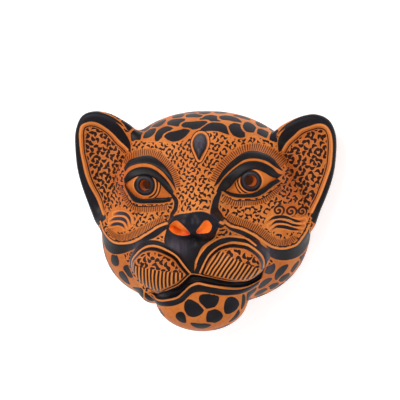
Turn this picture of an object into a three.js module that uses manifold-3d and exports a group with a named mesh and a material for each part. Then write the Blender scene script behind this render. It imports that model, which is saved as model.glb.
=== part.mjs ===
// Ceramic head mask of a spotted wild cat, for a wall, press-moulded in clay with luted-on features.
// Millimetres. X runs to the viewer's right, the face looks along -Y, +Z is up.
// The wall is the plane y = 0, and the origin is the nail that the mask hangs on.
import * as THREE from 'three';
import { mergeVertices } from 'three/addons/utils/BufferGeometryUtils.js';
import Module from 'manifold-3d';

const wasm = await Module();
wasm.setup();

// ---- driving dimensions -------------------------------------------------------------
const GAP = 0.3;                 // slip joint between two luted pieces

const HEAD_HALF_WIDTH = 96;      // head outline at the wall, a rounded square
const HEAD_TOP = 93;             // from the head's middle up
const HEAD_BOTTOM = 89;          // from the head's middle down
const OUTLINE_POWER = 2.2;       // 2 is an ellipse, more is squarer
const HEAD_DEPTH = 63;           // wall to the front of the brow
const DOME_POWER_ACROSS = 2.6;   // how late the face turns towards the wall
const DOME_POWER_DEEP = 2.2;
const WALL = 9;                  // thickness of the clay shell
const BACK_MARGIN = 12;          // how far solids run past the wall plane before the trim

// Places below are given on a head of these sizes, and follow the real one.
const LAYOUT = { halfWidth: 96, top: 93, bottom: 89, depth: 63 };

const NAIL_DROP = 20;            // nail below the top of the head
const NAIL_HEIGHT = HEAD_TOP - NAIL_DROP;

const SNOUT = { at: [1, 40, -27], r: [60, 47, 47] };
const ON_SNOUT = SNOUT.at;       // what sits on the snout keeps its place on it
const BRIDGE = { from: [1, 44, 46], to: [1.5, 79, 6], radius: 18, on: ON_SNOUT };
const CHEEKS = [
  { at: [-79, 22, -8], r: [17, 19, 17] },
  { at: [81, 22, -6], r: [17, 19, 17] },
];

const EYES = [
  { side: 'left', at: [-47.5, 46, 30], tilt: -14 },
  { side: 'right', at: [47, 46, 36], tilt: 13 },
];
const EYE_RADII = [22, 14.5, 13.5];
const PUPIL_DIAMETER = 9.5;      // bored right through the eyeball

const LID_RADIUS = 2.9;
const LOWER_LID_RADIUS = 2.2;
const BROW_RADIUS = 4.4;
const LIP_RADIUS = 4.2;
const LID_PROUD = 0.6;           // how far a strip's middle stands off the face
const LIP_PROUD = 3.5;

const NOSE = { at: [2, 90, 0], r: [21, 15, 12.5], on: ON_SNOUT };
const NOSTRIL_RADII = [9.5, 8, 6];
const NOSTRILS = [
  { at: [-9.5, 104, -5], tilt: -28, on: ON_SNOUT },
  { at: [13, 104, -3], tilt: 28, on: ON_SNOUT },
];

const PADS = [
  { side: 'left', at: [-31, 70, -43], r: [29, 24, 22], tilt: -14, on: ON_SNOUT },
  { side: 'right', at: [33, 70, -36], r: [30, 24, 20], tilt: 10, on: ON_SNOUT },
];
const CHIN = { at: [1.5, 49, -75], r: [42, 31, 27.5], on: ON_SNOUT };
const JAWS = [{ turn: -146, spread: 44, fuller: 10.5 }, { turn: -30, spread: 40, fuller: 3.5 }];
const BOSS = { at: [1.4, 50, 65], r: [7.5, 6, 13.5] };

const EAR_THICKNESS = 15;        // rim to back
const EAR_BACK = 16;             // back of the ear from the wall
const EAR_EDGE_ROUND = 2.5;
const EAR_ROOT = [84, 0, 34];    // where the ear leaves the head, whose width carries it
const EAR_DISH = { at: [91, 46, 50], r: [23, 24, 40], tilt: -13 };

const WIRE_DIAMETER = 2.4;
const WIRE_CLEARANCE = 0.4;      // all round the wire in its lugs
const LUG_SPREAD = 30;           // middle of each lug from the head's middle
const LUG_WIDTH = 8;
const LUG_DROP = 33;             // pivot below the top of the head
const LUG_HEIGHT_AT = HEAD_TOP - LUG_DROP;
const LUG_DEPTH_AT = 14;         // pivot from the wall
const LUG_RADIUS = 6.5;
const WIRE_FROM_WALL = 5;        // where the wire passes over the nail
const NAIL_REST = 1.2;           // wire's middle above the nail's middle

// ---- clay and metal -----------------------------------------------------------------
function clay(color, roughness) {
  return new THREE.MeshStandardMaterial({ color, roughness, metalness: 0 });
}
const ORANGE_CLAY = clay(0xd9762f, 0.42);
const BLACK_SLIP = clay(0x24262e, 0.34);
const DARK_CLAY = clay(0x8a4a24, 0.45);
const STEEL_WIRE = new THREE.MeshStandardMaterial({ color: 0x8c8f94, roughness: 0.4, metalness: 1 });

// ---- solids and geometries -----------------------------------------------------------
function solidOf(geometry) {
  const bare = geometry.clone();
  for (const name of Object.keys(bare.attributes)) {
    if (name !== 'position') bare.deleteAttribute(name);
  }
  const merged = mergeVertices(bare, 1e-4);
  const mesh = new wasm.Mesh({
    numProp: 3,
    vertProperties: new Float32Array(merged.attributes.position.array),
    triVerts: new Uint32Array(merged.index.array),
  });
  return new wasm.Manifold(mesh);
}

function biggestBody(solid) {
  const bodies = solid.decompose();
  return bodies.reduce((best, body) => (body.volume() > best.volume() ? body : best));
}

function meshOf(name, solid, material) {
  const { vertProperties, triVerts } = biggestBody(solid).getMesh();
  const geometry = new THREE.BufferGeometry();
  geometry.setAttribute('position', new THREE.BufferAttribute(new Float32Array(vertProperties), 3));
  geometry.setIndex(new THREE.BufferAttribute(new Uint32Array(triVerts), 1));
  geometry.computeVertexNormals();
  const mesh = new THREE.Mesh(geometry, material);
  mesh.name = name;
  return mesh;
}

// A point given as across, out from the wall, up.
function place([across, out, up]) {
  return new THREE.Vector3(across, -out, up);
}

// A point of the layout, carried as far as the head's own sizes move the feature that it is on.
function follow(point, on = point) {
  const [across, out, up] = on;
  const tall = up > 0 ? HEAD_TOP / LAYOUT.top : HEAD_BOTTOM / LAYOUT.bottom;
  const moved = [across * HEAD_HALF_WIDTH / LAYOUT.halfWidth, out * HEAD_DEPTH / LAYOUT.depth, up * tall];
  return point.map((value, axis) => value + moved[axis] - on[axis]);
}

// A tilt turns a piece in the plane of the wall, right end up.
function ellipsoid({ at, r, tilt = 0, on = at }, grow = 0, rings = 14) {
  const geometry = new THREE.SphereGeometry(1, 2 * rings, rings);
  geometry.rotateX(Math.PI / 2);
  geometry.scale(r[0] + grow, r[1] + grow, r[2] + grow);
  geometry.rotateY(THREE.MathUtils.degToRad(-tilt));
  geometry.translate(...place(follow(at, on)).toArray());
  return solidOf(geometry);
}

function capsule({ from, to, radius, on }, grow) {
  const start = place(follow(from, on));
  const axis = place(follow(to, on)).sub(start);
  const geometry = new THREE.CapsuleGeometry(radius + grow, axis.length(), 4, 16);
  geometry.applyQuaternion(new THREE.Quaternion().setFromUnitVectors(
    new THREE.Vector3(0, 1, 0), axis.clone().normalize()));
  geometry.translate(...start.add(axis.multiplyScalar(0.5)).toArray());
  return solidOf(geometry);
}

function block(low, high) {
  const a = place(low);
  const b = place(high);
  const size = b.clone().sub(a);
  const geometry = new THREE.BoxGeometry(Math.abs(size.x), Math.abs(size.y), Math.abs(size.z));
  geometry.translate(...a.add(b).multiplyScalar(0.5).toArray());
  return solidOf(geometry);
}

// How far the jaws stand out beyond the oval of the head, at a turn in degrees from the right.
function jawFullness(turn) {
  let fuller = 0;
  for (const jaw of JAWS) {
    const off = Math.abs(THREE.MathUtils.euclideanModulo(turn - jaw.turn + 180, 360) - 180) / jaw.spread;
    fuller += jaw.fuller * Math.cos(Math.min(off, 1) * Math.PI / 2) ** 2;
  }
  return fuller;
}

// ---- the head ---------------------------------------------------------------------------
function outlineRadius(across, up) {
  const tall = up > 0 ? HEAD_TOP : HEAD_BOTTOM;
  const sum = Math.abs(across / HEAD_HALF_WIDTH) ** OUTLINE_POWER + Math.abs(up / tall) ** OUTLINE_POWER;
  const turn = Math.atan2(up, across) * 180 / Math.PI;
  return Math.hypot(across, up) * sum ** (-1 / OUTLINE_POWER) + jawFullness(turn);
}

// The dome of the head, made bigger or smaller all round by grow.
function dome(grow) {
  const geometry = new THREE.SphereGeometry(1, 40, 18);
  geometry.rotateX(Math.PI / 2);
  const points = geometry.attributes.position;
  const point = new THREE.Vector3();
  for (let i = 0; i < points.count; i += 1) {
    point.fromBufferAttribute(points, i);
    const ring = Math.hypot(point.x, point.z);
    const front = -point.y;
    const depth = front > 0 ? (HEAD_DEPTH + grow) * front ** (2 / DOME_POWER_DEEP) : BACK_MARGIN * front;
    if (ring < 1e-6) {
      points.setXYZ(i, 0, -depth, 0);
      continue;
    }
    const reach = (outlineRadius(point.x, point.z) + grow) * ring ** (2 / DOME_POWER_ACROSS);
    points.setXYZ(i, point.x / ring * reach, -depth, point.z / ring * reach);
  }
  return solidOf(geometry);
}

function headMass(grow) {
  let mass = dome(grow).add(ellipsoid(SNOUT, grow, 14)).add(capsule(BRIDGE, grow));
  for (const cheek of CHEEKS) mass = mass.add(ellipsoid(cheek, grow, 7));
  return mass;
}

const inFrontOfWall = block([-200, 0, -200], [200, 200, 200]);

function hollow(grow) {
  return dome(grow - WALL).add(ellipsoid(SNOUT, grow - WALL, 10));
}

// How far the face stands out from the wall at a place on it.
function faceDepth(across, up) {
  const ring = Math.hypot(across, up) / outlineRadius(across || 1e-6, up);
  let depth = HEAD_DEPTH * Math.max(0, 1 - ring ** DOME_POWER_ACROSS) ** (1 / DOME_POWER_DEEP);
  for (const { at: layoutPlace, r } of [SNOUT, ...CHEEKS]) {
    const at = follow(layoutPlace);
    const inside = 1 - ((across - at[0]) / r[0]) ** 2 - ((up - at[2]) / r[2]) ** 2;
    if (inside > 0) depth = Math.max(depth, at[1] + r[1] * Math.sqrt(inside));
  }
  return depth;
}

// A rolled coil of clay laid on the face through points of the layout, given as across and up.
function coil(points, on, radius, proud, grow = 0) {
  const onFace = points.map(([layoutAcross, layoutUp]) => {
    const [across, , up] = follow([layoutAcross, 0, layoutUp], on);
    return place([across, faceDepth(across, up) + proud, up]);
  });
  const curve = new THREE.CatmullRomCurve3(onFace);
  const length = curve.getLength();
  const geometry = new THREE.CapsuleGeometry(radius + grow, length, 2, 8, 10);
  const vertices = geometry.attributes.position;
  const vertex = new THREE.Vector3();
  const front = new THREE.Vector3(0, -1, 0);
  for (let i = 0; i < vertices.count; i += 1) {
    vertex.fromBufferAttribute(vertices, i);
    const along = THREE.MathUtils.clamp(vertex.y / length + 0.5, 0, 1);
    const past = vertex.y - (along - 0.5) * length;
    const tangent = curve.getTangentAt(along);
    const side = new THREE.Vector3().crossVectors(tangent, front).normalize();
    const out = new THREE.Vector3().crossVectors(side, tangent);
    const spot = curve.getPointAt(along);
    spot.addScaledVector(tangent, past);
    spot.addScaledVector(side, vertex.x);
    spot.addScaledVector(out, vertex.z);
    vertices.setXYZ(i, spot.x, spot.y, spot.z);
  }
  return solidOf(geometry);
}

// ---- the features ---------------------------------------------------------------------
const BROW_LINES = {
  left: [[-70, 43], [-61, 49], [-48, 52], [-34, 45], [-25, 35], [-21, 26]],
  right: [[16, 32], [25, 43], [36, 54], [46, 58], [58, 56], [70, 46]],
};
const UPPER_LID_LINES = {
  left: [[-70, 33], [-61, 40], [-51, 43], [-40, 40], [-30, 31], [-23, 20]],
  right: [[22, 26], [32, 39], [43, 48], [54, 50], [64, 46], [74, 38]],
};
const LOWER_LID_LINES = {
  left: [[-70, 28], [-63, 21], [-54, 16], [-42, 14], [-32, 15], [-24, 17]],
  right: [[22, 23], [31, 20], [43, 19], [54, 21], [64, 28], [73, 34]],
};
const LIP_LINE = [[-44, -67], [-29, -71], [-15, -68], [-3, -60], [8, -57], [19, -58], [34, -62], [52, -57]];
const EAR_OUTLINE = [[58, 62], [64, 76], [74, 83.5], [88, 90.5], [101.5, 92], [113, 87],
  [119, 74.5], [119.7, 58], [117, 36], [109.5, 12], [98.5, -9], [84, -6], [76, 14], [66, 36]];

function eyeball(eye, grow = 0) {
  return ellipsoid({ at: eye.at, r: EYE_RADII, tilt: eye.tilt }, grow, 9);
}

function pupilBore(eye) {
  const geometry = new THREE.CylinderGeometry(PUPIL_DIAMETER / 2, PUPIL_DIAMETER / 2, 4 * EYE_RADII[1], 14);
  geometry.translate(...place(follow(eye.at)).toArray());
  return solidOf(geometry);
}

// The right ear's slab; the left ear mirrors it.
function earSlab(mirror) {
  const outline = EAR_OUTLINE.map(([layoutAcross, layoutUp]) => {
    const [across, , up] = follow([layoutAcross, 0, layoutUp], EAR_ROOT);
    return new THREE.Vector2(mirror * across, up);
  });
  const curve = new THREE.SplineCurve([...outline, outline[0].clone()]);
  const points = curve.getPoints(28).slice(0, -1);
  const geometry = new THREE.ExtrudeGeometry(new THREE.Shape(points), {
    depth: EAR_THICKNESS - 2 * EAR_EDGE_ROUND,
    bevelThickness: EAR_EDGE_ROUND,
    bevelSize: EAR_EDGE_ROUND,
    bevelOffset: -EAR_EDGE_ROUND,
    bevelSegments: 1,
  });
  geometry.rotateX(Math.PI / 2);
  geometry.translate(0, -EAR_BACK - EAR_EDGE_ROUND, 0);
  return solidOf(geometry);
}

function ear(mirror) {
  const [across, out, up] = follow(EAR_DISH.at, EAR_ROOT);
  const dish = { at: [mirror * across, out, up], r: EAR_DISH.r, tilt: mirror * EAR_DISH.tilt };
  return earSlab(mirror).subtract(ellipsoid({ ...dish, on: [0, 0, 0] }, 0, 10));
}

function nose(grow = 0) {
  let solid = ellipsoid(NOSE, grow, 10);
  if (grow === 0) {
    for (const pit of NOSTRILS) solid = solid.subtract(ellipsoid({ ...pit, r: NOSTRIL_RADII }, 0, 6));
  }
  return solid;
}

// A lug is a rounded block inside the crown, bored across for the wire.
function lug(mirror) {
  const across = mirror * LUG_SPREAD;
  const length = HEAD_TOP;
  const shape = new THREE.Shape();
  shape.absarc(0, 0, LUG_RADIUS, Math.PI / 2, -Math.PI / 2, false);
  shape.lineTo(length, -LUG_RADIUS);
  shape.lineTo(length, LUG_RADIUS);
  const hole = new THREE.Path();
  hole.absarc(0, 0, WIRE_DIAMETER / 2 + WIRE_CLEARANCE, 0, 2 * Math.PI, true);
  shape.holes.push(hole);
  const geometry = new THREE.ExtrudeGeometry(shape, {
    depth: LUG_WIDTH,
    curveSegments: 10,
    bevelEnabled: false,
  });
  geometry.translate(0, 0, -LUG_WIDTH / 2);
  // The shape's own X leads up and out towards the crown's inner wall.
  const along = new THREE.Vector3(0, -0.6, 0.8);
  const sideways = new THREE.Vector3(1, 0, 0);
  const third = new THREE.Vector3().crossVectors(sideways, along);
  geometry.applyMatrix4(new THREE.Matrix4().makeBasis(along, third, sideways));
  geometry.translate(...place([across, LUG_DEPTH_AT, LUG_HEIGHT_AT]).toArray());
  return solidOf(geometry).intersect(hollow(-GAP));
}

// A stiff wire bail: straight through each lug, up to the nail, with turned-up ends.
function hangingWire() {
  const end = LUG_SPREAD + LUG_WIDTH / 2 + 3;
  const inner = LUG_SPREAD - LUG_WIDTH / 2 - 3;
  const pivot = [LUG_DEPTH_AT, LUG_HEIGHT_AT];
  const top = [WIRE_FROM_WALL, NAIL_HEIGHT + NAIL_REST];
  const rightHalf = [
    [0, ...top],
    [3, ...top],
    [inner - 3, pivot[0] - 1.5, pivot[1] + 2],
    [inner, ...pivot],
    [inner + 4, ...pivot],
    [end - 3, ...pivot],
    [end, ...pivot],
    [end + 1.5, pivot[0], pivot[1] - 2],
    [end + 1.5, pivot[0], pivot[1] - 6],
  ];
  const leftHalf = rightHalf.slice(1).reverse().map(([across, out, up]) => [-across, out, up]);
  const curve = new THREE.CatmullRomCurve3([...leftHalf, ...rightHalf].map(place), false, 'centripetal');
  const section = new THREE.Shape();
  section.absarc(0, 0, WIRE_DIAMETER / 2, 0, 2 * Math.PI, false);
  const geometry = new THREE.ExtrudeGeometry(section, { steps: 44, curveSegments: 4, extrudePath: curve });
  return solidOf(geometry);
}

// ---- assembly --------------------------------------------------------------------------
const mask = new THREE.Group();
const headMiddle = new THREE.Group();
headMiddle.position.z = -NAIL_HEIGHT;
mask.add(headMiddle);

// Each luted piece is cut back from the face and from the pieces laid before it.
const laid = [];
function lay(name, shape, material) {
  let solid = shape(0).subtract(headMass(GAP));
  for (const earlier of laid) solid = solid.subtract(earlier(GAP));
  laid.push(shape);
  headMiddle.add(meshOf(name, solid, material));
}

let shell = headMass(0).subtract(hollow(0)).intersect(inFrontOfWall);
for (const eye of EYES) {
  shell = shell.subtract(eyeball(eye, GAP));
  headMiddle.add(meshOf(`eyeball_${eye.side}`, eyeball(eye).subtract(pupilBore(eye)), BLACK_SLIP));
  laid.push((grow) => eyeball(eye, grow));
}
headMiddle.add(meshOf('face_shell', shell, ORANGE_CLAY));

for (const [side, mirror] of [['left', -1], ['right', 1]]) {
  headMiddle.add(meshOf(`ear_${side}`, ear(mirror).subtract(headMass(GAP)), ORANGE_CLAY));
}
for (const { side, at } of EYES) {
  lay(`upper_eyelid_${side}`,
    (grow) => coil(UPPER_LID_LINES[side], at, LID_RADIUS, LID_PROUD, grow), BLACK_SLIP);
  lay(`lower_eyelid_${side}`,
    (grow) => coil(LOWER_LID_LINES[side], at, LOWER_LID_RADIUS, LID_PROUD, grow), BLACK_SLIP);
  lay(`brow_ridge_${side}`, (grow) => coil(BROW_LINES[side], at, BROW_RADIUS, LID_PROUD, grow), BLACK_SLIP);
}
lay('forehead_boss', (grow) => ellipsoid(BOSS, grow, 7), BLACK_SLIP);
lay('nose', nose, BLACK_SLIP);
for (const pad of PADS) lay(`muzzle_pad_${pad.side}`, (grow) => ellipsoid(pad, grow, 10), ORANGE_CLAY);
lay('chin', (grow) => ellipsoid(CHIN, grow, 10), ORANGE_CLAY);
lay('lower_lip', (grow) => coil(LIP_LINE, ON_SNOUT, LIP_RADIUS, LIP_PROUD, grow), BLACK_SLIP);
headMiddle.add(meshOf('hanger_lug_left', lug(-1), DARK_CLAY));
headMiddle.add(meshOf('hanger_lug_right', lug(1), DARK_CLAY));
headMiddle.add(meshOf('hanging_wire', hangingWire(), STEEL_WIRE));

export default mask;
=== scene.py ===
"""A hollow clay wild cat head for a wall: burnished black slip scraped through to the orange clay."""
import math

import bpy
import numpy as np
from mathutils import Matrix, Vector


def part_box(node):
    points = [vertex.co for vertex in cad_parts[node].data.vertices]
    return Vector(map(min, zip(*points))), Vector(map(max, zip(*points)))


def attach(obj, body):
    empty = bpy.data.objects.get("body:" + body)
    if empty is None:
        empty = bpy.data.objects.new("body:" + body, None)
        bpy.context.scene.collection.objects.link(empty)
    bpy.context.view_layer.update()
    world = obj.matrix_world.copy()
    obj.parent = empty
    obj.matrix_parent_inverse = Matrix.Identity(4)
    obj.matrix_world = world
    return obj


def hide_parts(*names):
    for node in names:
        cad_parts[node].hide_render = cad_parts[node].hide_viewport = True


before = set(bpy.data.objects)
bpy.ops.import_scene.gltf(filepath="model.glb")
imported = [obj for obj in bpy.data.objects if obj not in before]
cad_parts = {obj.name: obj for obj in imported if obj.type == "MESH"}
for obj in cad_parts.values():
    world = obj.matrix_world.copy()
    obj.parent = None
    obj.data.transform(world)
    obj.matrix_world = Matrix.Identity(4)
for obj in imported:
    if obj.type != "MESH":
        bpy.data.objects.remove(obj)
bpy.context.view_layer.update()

# ---- sizes in millimetres: across, out from the wall, and up from the head's middle ----
HEAD_HALF_WIDTH, HEAD_TOP, HEAD_BOTTOM, HEAD_DEPTH = 96, 93, 89, 63
OUTLINE_POWER, DOME_POWER_ACROSS, DOME_POWER_DEEP = 2.2, 2.6, 2.2
JAWS = ((-146, 44, 10.5), (-30, 40, 3.5))   # degrees round from the right, spread, and how much fuller
WALL = 9
MIDDLE_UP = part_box("face_shell")[1].z * 1000 - HEAD_TOP   # the head's middle in the row frame

# ---- the grid that the clay is worked out on ----
STEP = 0.8
GRID_LOW = np.array([-122.0, -3.2, -104.0])
GRID_HIGH = np.array([122.0, 109.0, 99.0])
AXES = [np.arange(low, high, STEP, dtype=np.float32) for low, high in zip(GRID_LOW, GRID_HIGH)]
ACROSS = AXES[0][:, None, None]
OUT = AXES[1][None, :, None]
UP = AXES[2][None, None, :]
FRONT_X = AXES[0][:, None] + 0 * AXES[2][None, :]
FRONT_Z = AXES[2][None, :] + 0 * AXES[0][:, None]

# ---- the incised design, as lines over the face: (across, up) in millimetres ----
SIDES = ("left", "right")
VOLUTES = 3   # scroll ridges on each cheek
LINES = {
    "lid_top.left": [(-67, 29), (-61.5, 32), (-56, 35.5), (-47, 37.5), (-39, 34.5), (-32.5, 28.5),
        (-28, 23.5), (-22.5, 19)],
    "lid_bottom.left": [(-67, 29), (-64, 25), (-60, 21), (-54, 17.5), (-47, 16.5), (-39, 17.5),
        (-31, 18), (-22.5, 19)],
    "lid_top.right": [(24, 24.5), (29.5, 29), (35.5, 35.5), (42, 41), (50, 43.5), (57.5, 41),
        (63.5, 37.5), (69.5, 35.5)],
    "lid_bottom.right": [(25, 25), (28, 23.5), (34, 22.7), (41, 22.5), (50, 23.5), (57.5, 28),
        (63, 32.5), (69.5, 35.5)],
    "brow_top.left": [(-68.5, 43), (-64, 50), (-56, 53.5), (-48, 54.5), (-39.5, 52.5), (-31, 47),
        (-25, 40), (-20, 31), (-18, 25)],
    "brow_low.left": [(-67, 40), (-61.5, 45), (-54, 47.5), (-47, 47.5), (-40, 45.5), (-33, 41),
        (-28, 36), (-22, 29.5), (-18, 24.5)],
    "brow_top.right": [(15, 30), (18, 36.5), (22.5, 44), (28.5, 50.5), (35, 56), (42.5, 59), (51, 59),
        (59.5, 56.5), (66, 52), (73.5, 43)],
    "brow_low.right": [(16, 29.5), (20, 33), (24, 38.5), (30, 44.5), (37, 50), (44, 52.5), (53, 52.5),
        (60, 50.5), (66, 46.5), (73.5, 42)],
    "lid_line.left": [(-68, 33.5), (-64, 39.5), (-58, 43.5), (-51, 45), (-43.5, 44), (-37, 41),
        (-31, 36), (-26, 31), (-21, 24.5)],
    "lid_line.right": [(17, 24.5), (19, 29.5), (23, 35.5), (29, 42), (35.5, 47.5), (43.5, 50.5),
        (52, 51), (59, 49), (65.5, 45), (70, 40.5), (74, 39)],
    "under_lid.left": [(-67.5, 28.5), (-66, 24), (-63.5, 18.5), (-59.5, 13.5), (-52, 12),
        (-43.5, 12.3), (-34, 13.3), (-24.5, 15.2)],
    "under_lid.right": [(22.5, 24.5), (27.5, 20.8), (34, 19), (42, 18.8), (50.5, 19.2), (57, 22),
        (62.5, 26.3), (67, 30), (72.5, 33.2)],
    "under_line.left": [(-73, 29), (-69.5, 25), (-67, 19.5), (-63.5, 13.5), (-58, 10), (-51, 9.3),
        (-42.5, 9.5), (-34, 11), (-24.5, 13.2)],
    "under_line.right": [(21.5, 22.3), (27.5, 18.6), (34, 16.3), (42, 16), (51, 16.5), (58.5, 19.5),
        (64.5, 24.5), (69, 28.3), (74.5, 29.8)],
    "tear.left": [(-22, 20), (-18, 15.5), (-18, 9.5), (-20.5, 4), (-19.5, -1)],
    "tear.right": [(19.5, 23.5), (17.5, 18), (17, 11.5), (19, 7), (22, 2.5), (24, -2.5)],
    "nose_top": [(-25, -2), (-21.5, 3), (-12, 7.5), (-4.5, 9), (4.5, 10.5), (11.5, 9.5), (16.5, 7),
        (20.5, 3.5), (23, -0.5)],
    "muzzle.left": [(-27, -3.5), (-26.5, -9), (-28, -16), (-26.5, -21), (-20, -25.5), (-12.5, -31),
        (-6.5, -39), (-2.5, -45)],
    "muzzle.right": [(23, -1.5), (20, -9), (17, -14), (12, -17.5), (6.5, -22.5), (3, -29), (0.5, -35),
        (0, -45)],
    "nostril.left": [(-23.5, -6.5), (-18, 0), (-13, 2), (-8, -1), (-3.5, -6), (-2.5, -9.5),
        (-7.5, -11), (-15.5, -11.5), (-21.5, -9.5)],
    "nostril.right": [(4, -6.5), (7.5, -1.5), (10.5, 2.5), (14, 3), (17, -0.5), (16.5, -4), (14, -7),
        (9, -8), (4.5, -8)],
    "pad_top.left": [(-4, -46), (-9, -39), (-15, -32), (-22.5, -27), (-30.5, -24), (-40, -23.5),
        (-48, -26), (-53, -31), (-57, -37), (-56.5, -45), (-53, -53), (-47, -60)],
    "pad_bottom.left": [(-48, -66), (-38, -65), (-30, -61), (-21, -57), (-12.5, -51.5), (-4, -46)],
    "pad_top.right": [(4.5, -45), (7.5, -37.5), (12, -30), (18, -24), (24.5, -20.5), (33, -18.5),
        (43, -19.5), (50, -22.5), (56, -27), (59.5, -33.5), (59.5, -41)],
    "pad_bottom.right": [(59.5, -41), (55, -46), (49, -50), (42, -51), (33, -50), (22.5, -48),
        (12.5, -47), (4.5, -45)],
    "outer.right": [(1.5, -36), (4, -29.5), (8.5, -24), (13.5, -19), (19.5, -15.5), (26, -14),
        (33, -14), (41.5, -15), (47.5, -17.5), (53, -21)],
    "mouth": [(-47.5, -71.8), (-38, -68.5), (-24, -60.5), (-16, -56.5), (-9, -51), (-4, -47),
        (1, -46.5), (9, -48), (18.5, -49.5), (29, -51.5), (39, -53), (46, -54), (54, -48), (59, -43)],
    "lip_top": [(-47.5, -72), (-40, -73.8), (-32, -73.2), (-24, -71), (-15.5, -68), (-10, -63),
        (-4.5, -57.5), (1.5, -55), (7.5, -55.5), (16, -57.5), (26.5, -60), (36, -61), (44, -60.5),
        (50.5, -58), (56, -54.5)],
    "lip_low": [(-47.5, -72.2), (-43, -76), (-37, -78.2), (-28, -77.5), (-19.5, -76), (-12, -72.5),
        (-6.5, -67.5), (-0.5, -63), (6.5, -62), (13.5, -63.5), (22, -65.5), (31.5, -66), (40, -66),
        (46.5, -64.5), (52, -61)],
    "cheek_line.left": [(-95, -8), (-92, -16), (-87, -22), (-80.5, -25.5), (-72.5, -26), (-63.5, -24),
        (-54.5, -20), (-46, -14.5), (-37.5, -9), (-29, -4.5), (-23, -2)],
    "cheek_low.left": [(-96, -20), (-94, -28), (-90, -34), (-81.5, -37), (-72.5, -35.5), (-64, -32),
        (-52, -25), (-44.5, -20), (-36, -16), (-29.5, -11), (-24.5, -6.5)],
    "cheek_line.right": [(23.5, 1), (29.5, -4.5), (38, -7), (45.5, -10.5), (52, -15), (59, -21),
        (65.5, -25.5), (72, -28), (78.5, -28), (86, -25), (93, -16), (96, -8)],
    "cheek_low.right": [(23.5, -2), (29.5, -8), (38, -12), (45.5, -16), (52, -20), (58, -26),
        (63, -34), (72, -39), (80, -39.5), (87.5, -37), (93, -32), (97, -22)],
    "ear_line.left": [(-69, 58), (-77.5, 64), (-84, 70.5), (-90, 76), (-96.5, 80.5), (-102, 82.5),
        (-107, 82.5), (-112.5, 79.5), (-114.5, 73), (-114, 64), (-113, 52), (-110.5, 40), (-107, 29),
        (-102.5, 19), (-97.5, 9), (-92, -1)],
    "ear_line.right": [(72, 59), (75.5, 65), (81.5, 71), (88.5, 76.5), (96, 80), (103, 82),
        (109.5, 80.5), (113.5, 75.5), (115, 67.5), (115.5, 57.5), (114.5, 47), (112, 36), (108, 25.5),
        (104, 14.5), (98.5, 3.5)],
    "ear_edge.left": [(-65, 55), (-67, 63), (-70.5, 70.5), (-75, 78), (-81, 83.5), (-88.5, 87.5),
        (-100, 91)],
    "ear_edge.right": [(68.5, 57), (67.5, 67), (69.5, 73.5), (74.5, 78.5), (82, 83.5), (89.5, 88),
        (101, 92)],
    "face_top": [(-65.5, 58), (-64, 65), (-58.5, 66.5), (-42, 66), (-34, 66), (-27.5, 64.5),
        (-20, 66.5), (-11, 69.5), (-0.5, 73), (9, 75.5), (16.5, 75), (25, 71), (33, 69.5),
        (47.5, 71.5), (53.5, 69), (60.5, 67), (68, 64), (71, 58)],
    "boss": [(0, 74), (4, 72.5), (6.5, 68), (6.5, 63), (4.5, 57.5), (1.5, 52), (-2, 57), (-5, 62.5),
        (-6, 67.5), (-4, 72.5)],
    "hatch_cheek.left": [(-90, -12), (-87, -17), (-81, -21.5), (-72.5, -23), (-63, -21), (-53.5, -16),
        (-43.5, -10.5), (-34, -5.5), (-25.5, -2)],
    "hatch_cheek.right": [(23, 3), (31, -2), (40, -5.5), (48.5, -10), (55, -14.5), (62, -20.5),
        (70, -24.5), (79.5, -24.5), (88, -19)],
    "volute_0.left": [(-62, -7), (-63.5, -2), (-67.5, 1), (-74, 1.5), (-80, 0.5)],
    "volute_1.left": [(-65.5, -9.5), (-67.5, -5), (-72.5, -3), (-79, -3.5), (-84, -6)],
    "volute_2.left": [(-68.5, -11.5), (-71.5, -8.5), (-77, -8), (-84, -10.5)],
    "volute_0.right": [(60, -3), (65, 0.5), (71, 1), (77, -0.5), (82.5, -3), (88, -4), (92, -3)],
    "volute_1.right": [(62.5, -7), (67, -3.2), (72, -2.7), (78, -4.2), (84, -7), (91, -8)],
    "volute_2.right": [(64.5, -10), (68.5, -7.5), (74.5, -8), (80.5, -10), (89, -12)],
}
EYES = {
    "left": dict(at=(-47, 44, 29.5), tilt=-14, pupil=(-48, 28.7)),
    "right": dict(at=(47.5, 44, 35.5), tilt=12, pupil=(46.3, 33.6)),
}
# where the cheeks' scrolls leave no room for marks: middle and half sizes
VOLUTE_FIELDS = (((-73, -4), (14, 11)), ((77, -1), (18, 13)))
IRIS = 9.6
PUPIL = 5.2   # half the pupil's width at the front; its bore narrows behind
# the spirals over the right cheek: across, up, radius
CURLS = ((70, 6.5, 5.4), (80.5, 5, 5.6), (90, 5, 4.8))

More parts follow.
